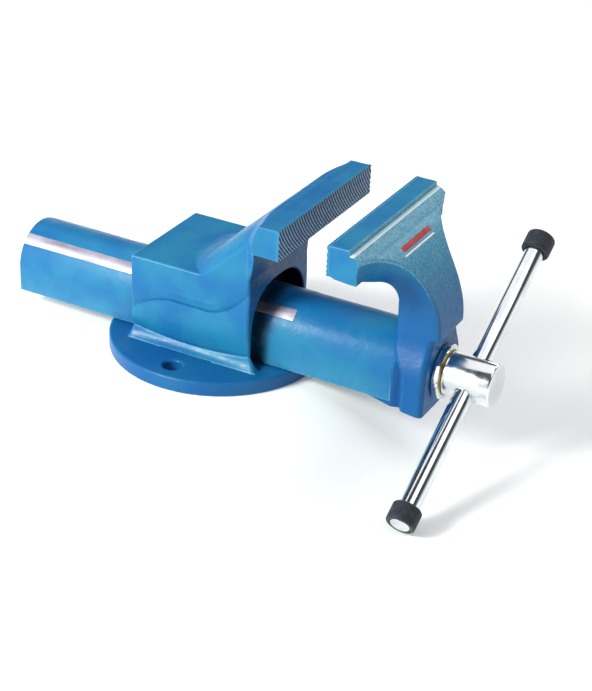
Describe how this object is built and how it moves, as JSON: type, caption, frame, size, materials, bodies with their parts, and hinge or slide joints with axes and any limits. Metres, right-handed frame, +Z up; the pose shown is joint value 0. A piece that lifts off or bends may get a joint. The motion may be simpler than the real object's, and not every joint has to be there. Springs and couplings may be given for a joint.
{
  "type": "bench vise",
  "caption": "Parallel bench vise with a fixed jaw on a round base plate, a jaw on an arched slide, and a spindle turned by a sliding bar handle.",
  "frame": {"origin": "centre of the round base plate on its underside, where the vise sits on the bench", "axes": "+X from the fixed jaw to the handle, along the slide and spindle; +Y across the jaws; +Z up"},
  "size_m": [0.3497, 0.2096, 0.1628],
  "materials": {
    "blue_paint": "semi-gloss blue enamel over a forged surface",
    "panel_paint": "semi-gloss blue enamel, greyer and finely textured on the arm's front",
    "chrome": "polished chrome plate",
    "bare_steel": "ground bare steel",
    "dark_steel": "black oxide",
    "brass": "turned bearing bronze",
    "black_rubber": "matt moulded rubber with fine ribs",
    "nylon": "natural nylon"
  },
  "bodies": {
    "vise_body": {"fixed_jaw_body": "blue_paint", "base_plate": "blue_paint", "spindle_nut": "bare_steel", "nut_screw_rear_right": "dark_steel", "nut_screw_rear_left": "dark_steel", "nut_screw_front_right": "dark_steel", "nut_screw_front_left": "dark_steel"},
    "jaw_slide_body": {"moving_jaw": "panel_paint", "slide_tube": "blue_paint", "spindle_bush": "brass", "thrust_ring": "chrome"},
    "spindle_body": {"spindle": "chrome", "thrust_washer": "brass", "rear_thrust_washer": "bare_steel", "disc_spring_rear": "dark_steel", "disc_spring_front": "dark_steel", "retaining_collar": "dark_steel", "collar_pin": "bare_steel", "friction_plug": "nylon", "friction_screw": "dark_steel"},
    "handle_body": {"handle_bar": "chrome", "grip_ring_upper": "black_rubber", "grip_ring_lower": "black_rubber"}
  },
  "joints": [
    {"name": "jaw_slide", "type": "slide", "parent": "vise_body", "child": "jaw_slide_body", "axis": [1, 0, 0], "range_m": [-0.032, 0.12]},
    {"name": "spindle_turn", "type": "hinge", "parent": "jaw_slide_body", "child": "spindle_body", "pos_m": [0.1866, 0, 0.0284], "axis": [1, 0, 0], "range_deg": [-2880.5, 10800.5]},
    {"name": "handle_slide", "type": "slide", "parent": "spindle_body", "child": "handle_body", "axis": [0, 0.8695, 0.4939], "range_m": [-0.088, 0.082]}
  ],
  "couplings": [
    {"joint": "spindle_turn", "follows": "jaw_slide", "rad_per_m": 1570.8}
  ]
}
